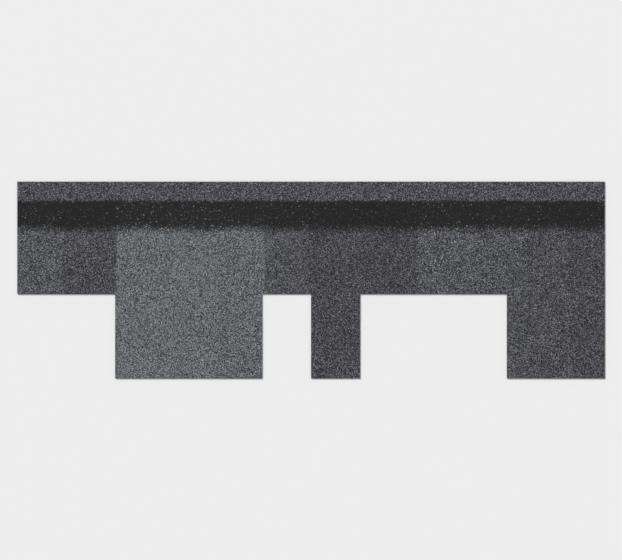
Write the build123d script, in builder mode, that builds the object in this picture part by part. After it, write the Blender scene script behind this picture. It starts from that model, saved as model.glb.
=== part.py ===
from build123d import *
import os

os.makedirs("parts", exist_ok=True)

# Asphalt shingle: one cut sheet, granule face up, three teeth along its lower edge.
# +X runs along the course, +Y runs up the roof (the teeth point to -Y), +Z is the
# outward normal of the granule face. Origin: middle of the underside.

# ---- driving dimensions, millimetres ---------------------------------------
length = 1000.0                 # along the course
module = length / 12            # every tooth and gap is a whole number of these
tooth_length = 143.5            # also the height of a course left in view
headlap = 48.0                  # strip that the course after next still covers
body_height = tooth_length + headlap
height = tooth_length + body_height
thickness = 3.2                 # over the granules

# teeth, from the left end, in modules: (start, width)
teeth = [(2, 3), (6, 1), (10, 2)]

corner_radius = 0.6             # a knife corner is never perfectly sharp
arris = 0.35                    # granules broken away along the cut, face side only

# ---- derived positions ------------------------------------------------------
left = -length / 2
right = length / 2
bottom = -height / 2            # tips of the teeth
root = bottom + tooth_length    # line where the teeth join the body
top = height / 2


def at(modules):
    """X of a module line, counted from the left end."""
    return left + modules * module


# Outline of the sheet, anticlockwise from the lower end of the left edge
outline = [(left, root)]
for start, width in teeth:
    x0, x1 = at(start), at(start + width)
    outline += [(x0, root), (x0, bottom), (x1, bottom)]
    if x1 < right - 1e-6:
        outline += [(x1, root)]
outline += [(right, top), (left, top)]

# ---- the sheet --------------------------------------------------------------
with BuildPart() as shingle:
    with BuildSketch(Plane.XY):
        with BuildLine():
            Polyline(*outline, close=True)
        make_face()
    extrude(amount=thickness)

    # corners left by the cutting knife, inside and outside ones alike
    fillet(shingle.edges().filter_by(Axis.Z), radius=corner_radius)

    # the granule face breaks away a little along the whole cut outline
    face_up = shingle.faces().sort_by(Axis.Z)[-1]
    chamfer(face_up.outer_wire().edges(), length=arris)

shingle.part.label = "shingle"
export_step(shingle.part, "parts/shingle.step")

print("outline points", len(outline))
print("size", shingle.part.bounding_box().size)
print("volume cm3", round(shingle.part.volume / 1000, 2))
print("solids", len(shingle.part.solids()))
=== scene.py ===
import math

import bpy
import numpy as np
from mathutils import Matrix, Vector
from mathutils.geometry import delaunay_2d_cdt


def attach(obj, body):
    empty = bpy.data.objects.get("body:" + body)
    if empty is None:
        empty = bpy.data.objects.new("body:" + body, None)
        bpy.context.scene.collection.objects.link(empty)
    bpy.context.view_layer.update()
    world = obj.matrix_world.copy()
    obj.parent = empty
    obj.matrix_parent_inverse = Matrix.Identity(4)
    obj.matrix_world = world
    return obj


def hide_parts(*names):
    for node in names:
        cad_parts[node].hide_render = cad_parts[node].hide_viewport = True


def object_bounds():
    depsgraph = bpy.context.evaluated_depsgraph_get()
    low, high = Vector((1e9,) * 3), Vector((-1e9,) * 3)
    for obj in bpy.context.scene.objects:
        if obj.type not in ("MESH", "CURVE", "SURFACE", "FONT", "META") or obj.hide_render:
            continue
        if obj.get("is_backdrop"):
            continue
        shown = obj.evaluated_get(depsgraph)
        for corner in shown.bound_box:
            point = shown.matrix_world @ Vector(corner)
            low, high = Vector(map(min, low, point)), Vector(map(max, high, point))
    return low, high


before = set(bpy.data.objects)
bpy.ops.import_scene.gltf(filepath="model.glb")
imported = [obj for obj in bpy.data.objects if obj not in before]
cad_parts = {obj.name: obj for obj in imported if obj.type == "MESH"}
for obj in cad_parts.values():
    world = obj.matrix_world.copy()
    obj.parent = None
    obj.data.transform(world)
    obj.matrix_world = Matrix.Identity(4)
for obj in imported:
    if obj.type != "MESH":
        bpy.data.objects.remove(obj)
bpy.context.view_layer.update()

# ---------------------------------------------------------------- sizes, metres
L, H, T = 1.0, 0.335, 0.0032
U = L / 12
TOOTH = 0.1435
X0, Y0 = -L / 2, -H / 2
ROOT = Y0 + TOOTH
TOP = H / 2
TEETH = [(2, 5), (6, 7), (10, 12)]            # in modules from the left end
rng = np.random.default_rng(1207)


def at(m):
    return X0 + U * m


# ---------------------------------------------------------------- tone of the blend
# Granules are dropped on the web in patches, so a patch runs the whole height of the
# sheet and is one to three modules long. (end of the patch in modules, tone)
PATCHES = [
    (0.95, -0.05), (2.02, -0.48), (4.08, 0.78), (5.04, 0.60), (5.92, -0.22),
    (7.06, -0.58), (8.20, -0.64), (9.30, -0.05), (10.45, -0.24), (11.30, -0.40), (12.5, -0.56),
]
BAND_TOP, BAND_LOW = 0.1345, 0.0870           # dark strip, whole; its lower edge is ragged


def smooth_noise(x, y, size, seed):
    """Value noise in -1..1 with features about size across."""
    r = np.random.default_rng(seed)
    g = r.uniform(-1, 1, (256, 256))
    u, v = x / size + 50.37, y / size + 50.73
    i, j = np.floor(u).astype(int), np.floor(v).astype(int)
    fu, fv = u - i, v - j
    fu, fv = fu * fu * (3 - 2 * fu), fv * fv * (3 - 2 * fv)
    a = g[i % 256, j % 256] * (1 - fu) + g[(i + 1) % 256, j % 256] * fu
    b = g[i % 256, (j + 1) % 256] * (1 - fu) + g[(i + 1) % 256, (j + 1) % 256] * fu
    return a * (1 - fv) + b * fv


def tone_at(x, y):
    """-1 darkest blend, 1 lightest, without the dark strip."""
    s = (x - X0) / U + 0.020 * smooth_noise(x, y, 0.011, 3) + 0.03 * smooth_noise(x, y, 0.09, 4)
    t = np.full_like(s, PATCHES[0][1])
    for (end, a), (_, b) in zip(PATCHES[:-1], PATCHES[1:]):
        w = np.clip((s - end) / 0.05 + 0.5, 0, 1)
        t = t + (b - a) * w * w * (3 - 2 * w)
    t = t + 0.10 * smooth_noise(x, y, 0.035, 5) + 0.10 * smooth_noise(x, y, 0.012, 6)
    # the strip that the next courses hide is plainer
    hid = np.clip((y - 0.128) / 0.006, 0, 1)
    return t * (1 - hid) + (-0.35 + 0.10 * smooth_noise(x, y, 0.02, 7)) * hid


def band_at(x, y):
    """0 to 1: how much of the dark strip's granules lie here."""
    low = BAND_LOW + 0.0022 * smooth_noise(x, y * 0, 0.030, 8) + 0.0022 * smooth_noise(x, y, 0.007, 9)
    up = BAND_TOP + 0.0012 * smooth_noise(x, y * 0, 0.02, 10)
    a = np.clip((y - low) / 0.016 + 0.5, 0, 1)
    b = np.clip((up - y) / 0.004 + 0.5, 0, 1)
    return a * b * (0.955 + 0.045 * smooth_noise(x, y, 0.009, 11))


# ---------------------------------------------------------------- the sheet's mesh
def new_mesh(name, verts, faces, mats, face_mat=None, smooth=False):
    """faces is an (n, 3) array."""
    me = bpy.data.meshes.new(name)
    n = len(faces)
    me.vertices.add(len(verts))
    me.vertices.foreach_set("co", np.ascontiguousarray(verts, np.float32).ravel())
    me.loops.add(3 * n)
    me.loops.foreach_set("vertex_index", np.ascontiguousarray(faces, np.int32).ravel())
    me.polygons.add(n)
    me.polygons.foreach_set("loop_start", np.arange(0, 3 * n, 3, dtype=np.int32))
    me.update(calc_edges=True)
    for m in mats:
        me.materials.append(m)
    if face_mat is not None:
        me.polygons.foreach_set("material_index", np.ascontiguousarray(face_mat, np.int32))
    me.polygons.foreach_set("use_smooth", np.full(n, smooth, bool))
    me.update()
    if me.validate():
        raise ValueError(name + " had faults")
    o = bpy.data.objects.new(name, me)
    bpy.context.scene.collection.objects.link(o)
    return o


def add_map(me, uv):
    """uv is (faces, 3, 2)."""
    layer = me.uv_layers.new(name="OFBake", do_init=False)
    layer.uv.foreach_set("vector", np.ascontiguousarray(uv, np.float32).ravel())


def point_attribute(me, name, values):
    a = me.attributes.new(name, "FLOAT", "POINT")
    a.data.foreach_set("value", np.ascontiguousarray(values, np.float32))


NX, NT, NB = 12 * 45, 78, 104                # columns, rows in the teeth, rows in the body
xs = X0 + L * np.arange(NX + 1) / NX
ys = np.concatenate([Y0 + TOOTH * np.arange(NT) / NT, ROOT + (TOP - ROOT) * np.arange(NB + 1) / NB])
gx, gy = np.meshgrid(xs, ys, indexing="ij")
NY = NT + NB
cell = np.zeros((NX, NY), bool)
cell[:, NT:] = True
for a, b in TEETH:
    cell[a * 45:b * 45, :NT] = True
used = np.zeros((NX + 1, NY + 1), bool)
for di in (0, 1):
    for dj in (0, 1):
        used[di:NX + di, dj:NY + dj] |= cell
index = np.full(used.shape, -1)
index[used] = np.arange(used.sum())
ci, cj = np.nonzero(cell)
v00, v10 = index[ci, cj], index[ci + 1, cj]
v01, v11 = index[ci, cj + 1], index[ci + 1, cj + 1]
flip = rng.random(len(ci)) < 0.5
px, py = gx[used].copy(), gy[used].copy()

# the outline's loop of vertices, anticlockwise
edges = {}
full = np.pad(cell, 1)
for i, j in zip(ci, cj):
    if not full[i + 1, j]:
        edges[index[i, j]] = index[i + 1, j]
    if not full[i + 2, j + 1]:
        edges[index[i + 1, j]] = index[i + 1, j + 1]
    if not full[i + 1, j + 2]:
        edges[index[i + 1, j + 1]] = index[i, j + 1]
    if not full[i, j + 1]:
        edges[index[i, j + 1]] = index[i, j]
start = int(index[0, NY])
loop = [start]
while edges[loop[-1]] != start:
    loop.append(int(edges[loop[-1]]))
loop = np.array(loop)
n_loop = len(loop)
lx, ly = px[loop], py[loop]
# inward normal at each loop vertex, from its two neighbours' outline directions
dx_, dy_ = np.roll(lx, -1) - lx, np.roll(ly, -1) - ly
d = np.hypot(dx_, dy_)
n1x, n1y = -dy_ / d, dx_ / d
inx, iny = n1x + np.roll(n1x, 1), n1y + np.roll(n1y, 1)
k = np.maximum(np.hypot(inx, iny), 1e-9)
inx, iny = inx / k, iny / k
corner = np.abs(n1x * np.roll(n1y, 1) - n1y * np.roll(n1x, 1)) > 0.5
# convex corners go in by the knife's radius
convex = corner & ((np.roll(n1x, 1) * n1y - np.roll(n1y, 1) * n1x) > 0)
along = np.cumsum(d)
rag = 0.00010 + 0.00007 * smooth_noise(along, along * 0, 0.004, 21) + 0.00009 * rng.random(n_loop)
rag = np.where(convex, rag + 0.00020, rag)
on_rim = np.zeros(len(px), bool)
on_rim[loop] = True

z = 0.00245 + 0.00038 * rng.random(len(px)) + 0.00005 * smooth_noise(px, py, 0.006, 22)
step = L / NX
px = np.where(on_rim, px, px + rng.uniform(-0.34, 0.34, len(px)) * step)
py = np.where(on_rim, py, py + rng.uniform(-0.34, 0.34, len(px)) * step)


def ring(inset, height):
    return np.stack([lx + inx * inset, ly + iny * inset, height], 1)


rim_in = rag + 0.00022 + 0.00022 * rng.random(n_loop)
rim = ring(rim_in, 0.00232 + 0.00030 * rng.random(n_loop))
top_verts = np.stack([px, py, z], 1)
top_verts[loop] = rim


def spread(f):
    """Twice each face's area as seen from above, negative if it is folded over."""
    a, b, c = (top_verts[f[:, k], :2] for k in range(3))
    return (b[:, 0] - a[:, 0]) * (c[:, 1] - a[:, 1]) - (b[:, 1] - a[:, 1]) * (c[:, 0] - a[:, 0])


# each cell is cut along a random diagonal, or along the one that folds nothing
one = np.stack([v00, v10, v11], 1), np.stack([v00, v11, v01], 1)
two = np.stack([v00, v10, v01], 1), np.stack([v10, v11, v01], 1)
least_1, least_2 = (np.minimum(spread(f), spread(g)) for f, g in (one, two))
flip = np.where(np.minimum(least_1, least_2) > 0.15 * step * step, flip, least_1 > least_2)[:, None]
top_faces = np.concatenate([np.where(flip, one[0], two[0]), np.where(flip, one[1], two[1])])
r1 = ring(rag * 0.55, 0.00188 + 0.00016 * rng.random(n_loop))
r2 = ring(rag * 0.35 + 0.00004 * rng.random(n_loop), 0.00082 + 0.00020 * rng.random(n_loop))
r3 = ring(rag * 0.6 + 0.00012, np.full(n_loop, 0.00010))
r4 = ring(rag * 0.6 + 0.00030, np.zeros(n_loop))
verts = [top_verts]
base = len(top_verts)
rings = [loop]
for r in (r1, r2, r3, r4):
    verts.append(r)
    rings.append(np.arange(base, base + n_loop))
    base += n_loop
side_faces = []
for a, b in zip(rings[:-1], rings[1:]):
    a2, b2 = np.roll(a, -1), np.roll(b, -1)
    side_faces += [np.stack([a, b, a2], 1), np.stack([a2, b, b2], 1)]
side_faces = np.concatenate(side_faces)

# underside: the last ring filled, with a sparse grid of points inside
bx, by = np.meshgrid(np.arange(X0 + 0.008, L / 2 - 0.004, 0.012), np.arange(Y0 + 0.008, TOP - 0.004, 0.012), indexing="ij")
bx, by = bx.ravel(), by.ravel()
inside = by > ROOT + 0.004
for a, b in TEETH:
    inside |= (bx > at(a) + 0.004) & (bx < at(b) - 0.004)
bx, by = bx[inside] + rng.uniform(-0.002, 0.002, inside.sum()), by[inside] + rng.uniform(-0.002, 0.002, inside.sum())
pts = [Vector((float(p[0]), float(p[1]))) for p in r4] + [Vector((float(a), float(b))) for a, b in zip(bx, by)]
out_v, _, out_f, orig, _, _ = delaunay_2d_cdt(pts, [], [list(range(n_loop))], 1, 1e-7)
where = np.empty(len(out_v), int)
extra = []
for i, o in enumerate(orig):
    if o and o[0] < n_loop:
        where[i] = rings[-1][o[0]]
    else:
        where[i] = base + len(extra)
        extra.append((out_v[i][0], out_v[i][1], 0.0))
verts.append(np.array(extra).reshape(-1, 3))
under_faces = where[np.array([f[::-1] for f in out_f])]
verts = np.concatenate(verts)
faces = np.concatenate([top_faces, side_faces, under_faces])
face_mat = np.concatenate([np.zeros(len(top_faces)), np.ones(len(side_faces)), np.full(len(under_faces), 2)])

# where each face's corners lie on the sheet's map, in pixels of a 1024 image
PX = 1480.0                                   # pixels to the metre on the granule face
island = np.concatenate([np.stack([ci, cj], 1)] * 2)
col_i, in_teeth = island[:, 0], island[:, 1] < NT
right = col_i >= 6 * 45
fx, fy = verts[top_faces, 0] - X0, verts[top_faces, 1] - Y0
tooth_at = np.select([col_i < 5 * 45, col_i < 7 * 45], [2.0, 6.0], 10.0) * U
tooth_u = np.select([col_i < 5 * 45, col_i < 7 * 45], [4.0, 8.0 + 3 * U * PX], 12.0 + 4 * U * PX)
body_h, tooth_h = (H - TOOTH) * PX, TOOTH * PX
u_top = np.where(in_teeth[:, None], tooth_u[:, None] + (fx - tooth_at[:, None]) * PX, 4 + (fx - np.where(right, 0.5, 0.0)[:, None]) * PX)
v_top = np.where(in_teeth[:, None], 3 + fy * PX, tooth_h + 7 + np.where(right, body_h + 3, 0.0)[:, None] + (fy - TOOTH) * PX)
uv_top = np.stack([u_top, v_top], 2)
LOW_PX = 680.0                                # and on the underside, as seen from below
under_v0 = tooth_h + 2 * body_h + 15
uv_under = np.stack([4 + (L / 2 - verts[under_faces, 0]) * LOW_PX, under_v0 + (verts[under_faces, 1] - Y0) * LOW_PX], 2)
# the cut edge runs in rows down the right of the image
PER_ROW, ROW_H, EDGE_U = 48, 27.4, 761.0
seg = np.arange(n_loop)
row = seg // PER_ROW
begins = along - d
u_a = EDGE_U + (begins - begins[row * PER_ROW]) * 2900
u_b = u_a + d * 2900
levels = [0.0, 0.24, 0.62, 0.90, 1.0]
uv_side = []
for q in range(4):
    va, vb = 2 + ROW_H * row + 23.5 * (1 - levels[q]), 2 + ROW_H * row + 23.5 * (1 - levels[q + 1])
    a, b = np.stack([u_a, va], 1), np.stack([u_a, vb], 1)
    a2, b2 = np.stack([u_b, va], 1), np.stack([u_b, vb], 1)
    uv_side += [np.stack([a, b, a2], 1), np.stack([a2, b, b2], 1)]
uv_sheet = np.concatenate([uv_top, np.concatenate(uv_side), uv_under]) / 1024
print("sheet triangles", len(faces), "loop", n_loop, "map", uv_sheet.reshape(-1, 2).min(0), uv_sheet.reshape(-1, 2).max(0))


# ---------------------------------------------------------------- materials
def srgb(r, g, b):
    def f(v):
        v /= 255
        return v / 12.92 if v <= 0.04045 else ((v + 0.055) / 1.055) ** 2.4
    return (f(r), f(g), f(b), 1.0)


def material(name):
    m = bpy.data.materials.new(name)
    m.use_nodes = True
    nt = m.node_tree
    nt.nodes.clear()
    out = nt.nodes.new("ShaderNodeOutputMaterial")
    p = nt.nodes.new("ShaderNodeBsdfPrincipled")
    nt.links.new(p.outputs[0], out.inputs["Surface"])
    return m, nt, p


def node(nt, kind, **values):
    n = nt.nodes.new(kind)
    for key, v in values.items():
        if isinstance(key, str) and hasattr(n, key):
            setattr(n, key, v)
    return n


def math_node(nt, op, a, b=None, c=None, clamp=False):
    n = nt.nodes.new("ShaderNodeMath")
    n.operation = op
    n.use_clamp = clamp
    for i, v in enumerate((a, b, c)):
        if v is None:
            continue
        if isinstance(v, (int, float)):
            n.inputs[i].default_value = v
        else:
            nt.links.new(v, n.inputs[i])
    return n.outputs[0]


def ramp(nt, fac, stops, mode="LINEAR"):
    n = nt.nodes.new("ShaderNodeValToRGB")
    n.color_ramp.interpolation = mode
    e = n.color_ramp.elements
    while len(e) > 1:
        e.remove(e[-1])
    for i, (pos, col) in enumerate(stops):
        x = e[0] if i == 0 else e.new(pos)
        x.position = pos
        x.color = col
    nt.links.new(fac, n.inputs[0])
    return n.outputs[0]


def mix_colour(nt, fac, a, b, blend="MIX"):
    n = nt.nodes.new("ShaderNodeMix")
    n.data_type = "RGBA"
    n.blend_type = blend
    for s, v in ((n.inputs[0], fac), (n.inputs[6], a), (n.inputs[7], b)):
        if isinstance(v, (int, float)):
            s.default_value = v
        elif isinstance(v, tuple):
            s.default_value = v
        else:
            nt.links.new(v, s)
    return n.outputs[2]


# stops from the blackest granule to the palest, a warm set and a cool one
WARM = [(0.0, srgb(27, 26, 26)), (0.16, srgb(45, 43, 44)), (0.24, srgb(55, 53, 60)), (0.48, srgb(89, 88, 96)), (0.75, srgb(121, 120, 129)), (1.0, srgb(173, 172, 176))]
COOL = [(0.0, srgb(27, 27, 28)), (0.16, srgb(44, 44, 46)), (0.24, srgb(54, 56, 61)), (0.48, srgb(87, 92, 97)), (0.75, srgb(119, 126, 130)), (1.0, srgb(168, 174, 177))]


def granule_colour(nt, grain, hue):
    return mix_colour(nt, hue, ramp(nt, grain, WARM), ramp(nt, grain, COOL))


# A granule's place on the ramp, from an even draw and the blend's tone there. A dark
# blend is nearly all dark granules, and a light one is more mixed.
def grain_of(u, t):
    a = np.exp(-0.75 * t)
    mean = 1 / (1 + a)
    return np.clip(mean + (u ** a - mean) * (1.02 + 0.27 * t), 0, 1)


def grain_nodes(nt, u, t):
    a = math_node(nt, "EXPONENT", math_node(nt, "MULTIPLY", t, -0.75))
    mean = math_node(nt, "DIVIDE", 1.0, math_node(nt, "ADD", a, 1.0))
    off = math_node(nt, "SUBTRACT", math_node(nt, "POWER", u, a), mean)
    return math_node(nt, "MULTIPLY_ADD", off, math_node(nt, "MULTIPLY_ADD", t, 0.27, 1.02), mean, clamp=True)


def attribute(nt, name):
    n = nt.nodes.new("ShaderNodeAttribute")
    n.attribute_type = "GEOMETRY"
    n.attribute_name = name
    return n.outputs["Fac"]


def object_coords(nt, scale):
    tc = nt.nodes.new("ShaderNodeTexCoord")
    mp = nt.nodes.new("ShaderNodeMapping")
    mp.inputs["Scale"].default_value = scale
    nt.links.new(tc.outputs["Object"], mp.inputs["Vector"])
    return mp.outputs[0]


# a: surface between and under the proud granules
sheet_mat, nt, p = material("granules_in_bitumen")
rough_edge = node(nt, "ShaderNodeTexNoise")
rough_edge.inputs["Scale"].default_value = 1100
rough_edge.inputs["Detail"].default_value = 1
co = object_coords(nt, (1, 1, 1))
nt.links.new(co, rough_edge.inputs["Vector"])
bent = node(nt, "ShaderNodeVectorMath", operation="MULTIPLY_ADD")
nt.links.new(rough_edge.outputs["Color"], bent.inputs[0])
bent.inputs[1].default_value = (0.0009, 0.0009, 0)
nt.links.new(co, bent.inputs[2])
co = bent.outputs[0]
vor = node(nt, "ShaderNodeTexVoronoi", voronoi_dimensions="2D", feature="F1")
gap = node(nt, "ShaderNodeTexVoronoi", voronoi_dimensions="2D", feature="DISTANCE_TO_EDGE")
for n in (vor, gap):
    n.inputs["Scale"].default_value = 1 / 0.00122
    n.inputs["Randomness"].default_value = 1.0
    nt.links.new(co, n.inputs["Vector"])
sep = nt.nodes.new("ShaderNodeSeparateColor")
nt.links.new(vor.outputs["Color"], sep.inputs[0])
tone, band = attribute(nt, "tone"), attribute(nt, "band")
grain = grain_nodes(nt, sep.outputs[0], tone)
keep = math_node(nt, "SUBTRACT", 1.0, math_node(nt, "MULTIPLY", band, 0.90))
grain = math_node(nt, "MULTIPLY", grain, keep)
hue = math_node(nt, "MULTIPLY_ADD", tone, 0.35, math_node(nt, "MULTIPLY_ADD", sep.outputs[1], 0.7, 0.1), clamp=True)
# the base granules are darkened a little: partly painted shade from the proud granules lying over them, partly their
# bitumen film
col = mix_colour(nt, 1.0, granule_colour(nt, grain, hue), (0.92, 0.92, 0.92, 1), "MULTIPLY")
# bitumen shows in the joints between granules
edge = nt.nodes.new("ShaderNodeMapRange")
edge.inputs["From Min"].default_value = 0.02
edge.inputs["From Max"].default_value = 0.13
edge.inputs["To Min"].default_value = 0.92
edge.inputs["To Max"].default_value = 0.0
nt.links.new(math_node(nt, "MULTIPLY_ADD", sep.outputs[2], 0.13, math_node(nt, "SUBTRACT", gap.outputs["Distance"], 0.07)), edge.inputs["Value"])
col = mix_colour(nt, edge.outputs[0], col, srgb(22, 21, 21))
nt.links.new(col, p.inputs["Base Color"])
rough = nt.nodes.new("ShaderNodeMapRange")
rough.inputs["To Min"].default_value = 0.68
rough.inputs["To Max"].default_value = 0.95
nt.links.new(sep.outputs[2], rough.inputs["Value"])
nt.links.new(rough.outputs[0], p.inputs["Roughness"])
p.inputs["Specular IOR Level"].default_value = 0.35
# each granule shows one broken face, tilted its own way
local = node(nt, "ShaderNodeVectorMath", operation="SUBTRACT")
nt.links.new(co, local.inputs[0])
nt.links.new(vor.outputs["Position"], local.inputs[1])
tilt = node(nt, "ShaderNodeVectorMath", operation="MULTIPLY_ADD")
nt.links.new(vor.outputs["Color"], tilt.inputs[0])
tilt.inputs[1].default_value, tilt.inputs[2].default_value = (1.1, 1.1, 0), (-0.55, -0.55, 0)
plane = node(nt, "ShaderNodeVectorMath", operation="DOT_PRODUCT")
nt.links.new(local.outputs[0], plane.inputs[0])
nt.links.new(tilt.outputs[0], plane.inputs[1])
height = math_node(nt, "MULTIPLY_ADD", sep.outputs[2], 0.00022, plane.outputs["Value"])
height = math_node(nt, "MULTIPLY_ADD", edge.outputs[0], -0.00022, height)
bump = nt.nodes.new("ShaderNodeBump")
bump.inputs["Strength"].default_value = 1.0
bump.inputs["Distance"].default_value = 1.0
nt.links.new(height, bump.inputs["Height"])
nt.links.new(bump.outputs[0], p.inputs["Normal"])

# b: the knife's cut through the bitumen
cut_mat, nt, p = material("cut_bitumen")
co = object_coords(nt, (1, 1, 1))
n1 = node(nt, "ShaderNodeTexNoise")
n1.inputs["Scale"].default_value = 900
n1.inputs["Detail"].default_value = 3
nt.links.new(co, n1.inputs["Vector"])
tar = ramp(nt, n1.outputs[0], [(0.35, srgb(20, 19, 20)), (0.62, srgb(34, 33, 34)), (0.76, srgb(58, 57, 58))])
# granules that the knife has split, thick under the top face and fewer below
vor = node(nt, "ShaderNodeTexVoronoi", voronoi_dimensions="3D", feature="F1")
gap = node(nt, "ShaderNodeTexVoronoi", voronoi_dimensions="3D", feature="DISTANCE_TO_EDGE")
for n in (vor, gap):
    n.inputs["Scale"].default_value = 1 / 0.0011
    nt.links.new(co, n.inputs["Vector"])
sep = nt.nodes.new("ShaderNodeSeparateColor")
nt.links.new(vor.outputs["Color"], sep.inputs[0])
tone, band = attribute(nt, "tone"), attribute(nt, "band")
grain = grain_nodes(nt, sep.outputs[0], tone)
grain = math_node(nt, "MULTIPLY", grain, math_node(nt, "MULTIPLY_ADD", band, -0.86, 0.92))
z_at = nt.nodes.new("ShaderNodeSeparateXYZ")
nt.links.new(vor.outputs["Position"], z_at.inputs[0])
share = nt.nodes.new("ShaderNodeMapRange")
share.inputs["From Min"].default_value = 0.0012
share.inputs["From Max"].default_value = 0.0023
share.inputs["To Min"].default_value = 0.03
share.inputs["To Max"].default_value = 0.88
nt.links.new(z_at.outputs["Z"], share.inputs["Value"])
shown = math_node(nt, "LESS_THAN", sep.outputs[1], share.outputs[0])
rim_gap = nt.nodes.new("ShaderNodeMapRange")
rim_gap.inputs["From Min"].default_value = 0.03
rim_gap.inputs["From Max"].default_value = 0.12
nt.links.new(gap.outputs["Distance"], rim_gap.inputs["Value"])
shown = math_node(nt, "MULTIPLY", shown, rim_gap.outputs[0])
nt.links.new(mix_colour(nt, shown, tar, granule_colour(nt, grain, sep.outputs[2])), p.inputs["Base Color"])
nt.links.new(ramp(nt, n1.outputs[0], [(0.3, (0.6, 0.6, 0.6, 1)), (0.7, (0.88, 0.88, 0.88, 1))]), p.inputs["Roughness"])
p.inputs["Specular IOR Level"].default_value = 0.35
height = math_node(nt, "MULTIPLY_ADD", shown, 0.5, n1.outputs[0])
bump = nt.nodes.new("ShaderNodeBump")
bump.inputs["Strength"].default_value = 0.6
bump.inputs["Distance"].default_value = 0.0004
nt.links.new(height, bump.inputs["Height"])
nt.links.new(bump.outputs[0], p.inputs["Normal"])

# c: underside, fine mineral dusting on bitumen
under_mat, nt, p = material("sanded_underside")
co = object_coords(nt, (1, 1, 1))
n1 = node(nt, "ShaderNodeTexNoise")
n1.inputs["Scale"].default_value = 1400
n1.inputs["Detail"].default_value = 2
n2 = node(nt, "ShaderNodeTexNoise")
n2.inputs["Scale"].default_value = 22
n2.inputs["Detail"].default_value = 4
for n in (n1, n2):
    nt.links.new(co, n.inputs["Vector"])
fine = ramp(nt, n1.outputs[0], [(0.30, srgb(30, 30, 31)), (0.50, srgb(58, 58, 59)), (0.72, srgb(104, 103, 101))])
cloud = ramp(nt, n2.outputs[0], [(0.3, (0.72, 0.72, 0.72, 1)), (0.7, (1.0, 1.0, 1.0, 1))])
nt.links.new(mix_colour(nt, 1.0, fine, cloud, "MULTIPLY"), p.inputs["Base Color"])
nt.links.new(ramp(nt, n1.outputs[0], [(0.3, (0.8, 0.8, 0.8, 1)), (0.7, (0.97, 0.97, 0.97, 1))]), p.inputs["Roughness"])
p.inputs["Specular IOR Level"].default_value = 0.3
bump = nt.nodes.new("ShaderNodeBump")
bump.inputs["Strength"].default_value = 0.6
bump.inputs["Distance"].default_value = 0.0003
nt.links.new(n1.outputs[0], bump.inputs["Height"])
nt.links.new(bump.outputs[0], p.inputs["Normal"])

# d: the proud granules, one colour each
chip_mat, nt, p = material("ceramic_granules")
grain, hue = attribute(nt, "grain"), attribute(nt, "hue")
nt.links.new(granule_colour(nt, grain, hue), p.inputs["Base Color"])
p.inputs["Roughness"].default_value = 0.82
p.inputs["Specular IOR Level"].default_value = 0.4

sheet = new_mesh("shingle_sheet", verts, faces, [sheet_mat, cut_mat, under_mat], face_mat, smooth=False)
point_attribute(sheet.data, "tone", tone_at(verts[:, 0], verts[:, 1]))
point_attribute(sheet.data, "band", band_at(verts[:, 0], verts[:, 1]))
add_map(sheet.data, uv_sheet)
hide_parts("shingle")
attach(sheet, "root")

# ---------------------------------------------------------------- proud granules
STRIPS = [
    ("granules_teeth", Y0, ROOT),
    ("granules_body_low", ROOT, ROOT + 0.1915 / 3),
    ("granules_body_mid", ROOT + 0.1915 / 3, ROOT + 2 * 0.1915 / 3),
    ("granules_body_high", ROOT + 2 * 0.1915 / 3, TOP),
]
AREA_EACH = 2.93e-6
OCTA = np.array([(1, 0, 0), (-1, 0, 0), (0, 1, 0), (0, -1, 0), (0, 0, 1), (0, 0, -1)], float)
OCTA_F = np.array([(0, 2, 4), (2, 1, 4), (1, 3, 4), (3, 0, 4), (2, 0, 5), (1, 2, 5), (3, 1, 5), (0, 3, 5)])


def clear_of_outline(x, y, r):
    """Inside the outline by at least r."""
    ok = (y > ROOT + r) & (y < TOP - r) & (x > X0 + r) & (x < L / 2 - r)
    for a, b in TEETH:
        ok |= (x > at(a) + r) & (x < at(b) - r) & (y > Y0 + r) & (y < TOP - r)
    return ok


def rotations(n, r):
    q = r.normal(size=(n, 4))
    q /= np.linalg.norm(q, axis=1)[:, None]
    w, a, b, c = q.T
    return np.stack([
        np.stack([1 - 2 * (b * b + c * c), 2 * (a * b - c * w), 2 * (a * c + b * w)], 1),
        np.stack([2 * (a * b + c * w), 1 - 2 * (a * a + c * c), 2 * (b * c - a * w)], 1),
        np.stack([2 * (a * c - b * w), 2 * (b * c + a * w), 1 - 2 * (a * a + b * b)], 1),
    ], 1)


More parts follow.
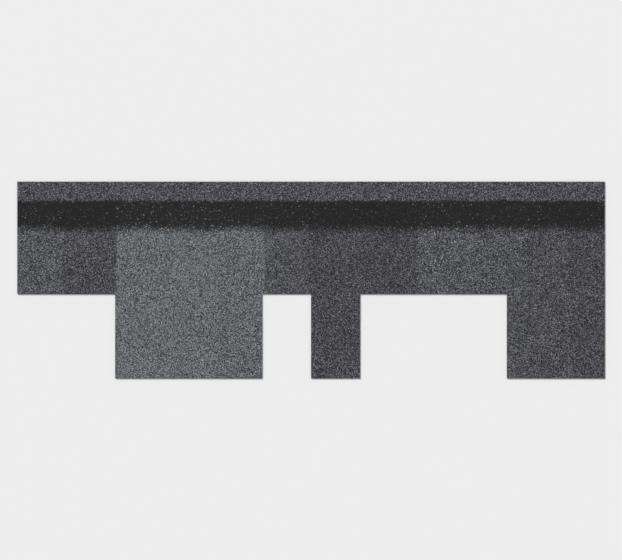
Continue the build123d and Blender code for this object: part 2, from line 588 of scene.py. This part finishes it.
total = 0
for si, (name, lo, hi) in enumerate(STRIPS):
    r = np.random.default_rng(500 + si)
    a = math.sqrt(AREA_EACH * 2 / math.sqrt(3))
    gx1 = np.arange(X0, L / 2, a)
    gy1 = np.arange(lo + a * 0.43, hi, a * math.sqrt(3) / 2)
    cx, cy = np.meshgrid(gx1, gy1, indexing="ij")
    cx = cx + (np.arange(len(gy1)) % 2)[None] * a / 2
    cx, cy = cx.ravel(), cy.ravel()
    cx = cx + r.uniform(-0.42, 0.42, len(cx)) * a
    cy = cy + r.uniform(-0.42, 0.42, len(cy)) * a
    rad = np.clip(r.normal(0.00086, 0.00017, len(cx)), 0.00050, 0.00125)
    ok = clear_of_outline(cx, cy, rad * 0.80 + 0.00020)
    cx, cy, rad = cx[ok], cy[ok], rad[ok]
    n = len(cx)
    v = OCTA[None] + r.normal(0, 0.20, (n, 6, 3))
    v = np.einsum("nij,nkj->nki", rotations(n, r), v)
    v[:, :, 0] *= r.uniform(0.72, 1.0, n)[:, None]
    yaw = r.uniform(0, 2 * math.pi, n)
    c, s = np.cos(yaw)[:, None], np.sin(yaw)[:, None]
    v[:, :, 0], v[:, :, 1] = c * v[:, :, 0] - s * v[:, :, 1], s * v[:, :, 0] + c * v[:, :, 1]
    v[:, :, :2] *= rad[:, None, None]
    v[:, :, 2] *= (rad * 0.52)[:, None]
    v[:, :, 0] += cx[:, None]
    v[:, :, 1] += cy[:, None]
    v[:, :, 2] += (0.00264 + r.uniform(-0.00006, 0.00010, n))[:, None]
    v[:, :, 2] = np.minimum(v[:, :, 2], T - 0.00001 * r.random((n, 6)))
    v[:, :, 0] = np.clip(v[:, :, 0], X0 + 0.00004, L / 2 - 0.00004)
    v[:, :, 1] = np.clip(v[:, :, 1], Y0 + 0.00004, TOP - 0.00004)
    f = (np.arange(n)[:, None, None] * 6 + OCTA_F[None]).reshape(-1, 3)
    o = new_mesh(name, v.reshape(-1, 3), f, [chip_mat])
    t, b = tone_at(cx, cy), band_at(cx, cy)
    g = grain_of(r.random(n), t)
    # the strip's granules are nearly all black, with a few off-colour ones
    pick = r.random(n)
    strip = np.where(pick < 0.84, g * 0.12, np.where(pick < 0.987, g * 0.42 + 0.03, g * 0.9))
    g = np.where(r.random(n) < b, strip, g)
    h = np.clip(0.35 * t + 0.1 + 0.7 * r.random(n), 0, 1)
    point_attribute(o.data, "grain", np.repeat(g, 6))
    point_attribute(o.data, "hue", np.repeat(h, 6))
    # one square of the map to a stone, laid out as the stones lie
    side = math.ceil(math.sqrt(n))
    order = np.argsort(cx, kind="stable")
    column = np.empty(n, int)
    column[order] = np.arange(n) // side
    order = np.lexsort((cy, column))
    place = np.empty(n, int)
    place[order] = np.arange(n) - side * column[order]
    centre = (np.stack([column, place], 1) + 0.5)[:, None, None]
    corner = np.array([(-0.28, -0.28), (0.28, -0.28), (0.0, 0.28)])[None, None]
    add_map(o.data, np.broadcast_to((centre + corner) / side, (n, 8, 3, 2)))
    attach(o, "root")
    total += len(f)
    print(name, n, "granules", len(f), "triangles")
print("all triangles", total + len(faces))

# ---------------------------------------------------------------- floor, light, camera
fm, nt, p = material("pale_floor")
p.inputs["Base Color"].default_value = srgb(239, 239, 239)
p.inputs["Roughness"].default_value = 0.9
p.inputs["Specular IOR Level"].default_value = 0.2
me = bpy.data.meshes.new("floor")
s = 14.0
me.from_pydata([(-s, -s, 0), (s, -s, 0), (s, s, 0), (-s, s, 0)], [], [(0, 1, 2, 3)])
floor = bpy.data.objects.new("floor", me)
me.materials.append(fm)
floor.location.z = -0.00005
bpy.context.scene.collection.objects.link(floor)
floor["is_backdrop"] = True


sd = bpy.data.lights.new("key", "SUN")
sd.energy = 2.92
sd.angle = math.radians(12)
sd.color = (1.0, 0.99, 0.975)
key = bpy.data.objects.new("key", sd)
bpy.context.scene.collection.objects.link(key)
key.location = (-2, 2, 2.6)
key.rotation_euler = (Vector((0, 0, 0)) - Vector((-1.0, 1.05, 1.05))).to_track_quat("-Z", "Y").to_euler()

# the studio: even pale light all round, seen by the camera as the floor's own tone
w = bpy.data.worlds.new("studio")
bpy.context.scene.world = w
w.use_nodes = True
nt = w.node_tree
nt.nodes.clear()
wo = nt.nodes.new("ShaderNodeOutputWorld")
light, seen = nt.nodes.new("ShaderNodeBackground"), nt.nodes.new("ShaderNodeBackground")
light.inputs[0].default_value, light.inputs[1].default_value = (0.955, 0.965, 0.99, 1), 0.46
seen.inputs[0].default_value, seen.inputs[1].default_value = (0.85, 0.85, 0.85, 1), 1.0
path = nt.nodes.new("ShaderNodeLightPath")
either = nt.nodes.new("ShaderNodeMixShader")
nt.links.new(path.outputs["Is Camera Ray"], either.inputs[0])
nt.links.new(light.outputs[0], either.inputs[1])
nt.links.new(seen.outputs[0], either.inputs[2])
nt.links.new(either.outputs[0], wo.inputs[0])

cam_d = bpy.data.cameras.new("camera")
cam_d.lens = 110
cam_d.sensor_width = 36
cam = bpy.data.objects.new("camera", cam_d)
bpy.context.scene.collection.objects.link(cam)
half = math.atan(18 / 110)
cam.location = (0, 0, (L / 0.945 / 2) / math.tan(half) + T)
cam.rotation_euler = (0, 0, 0)
cam_d.clip_start, cam_d.clip_end = 0.05, 60
bpy.context.scene.camera = cam
bpy.context.scene.view_settings.view_transform = "Standard"
bpy.context.scene.view_settings.look = "None"

lo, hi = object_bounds()
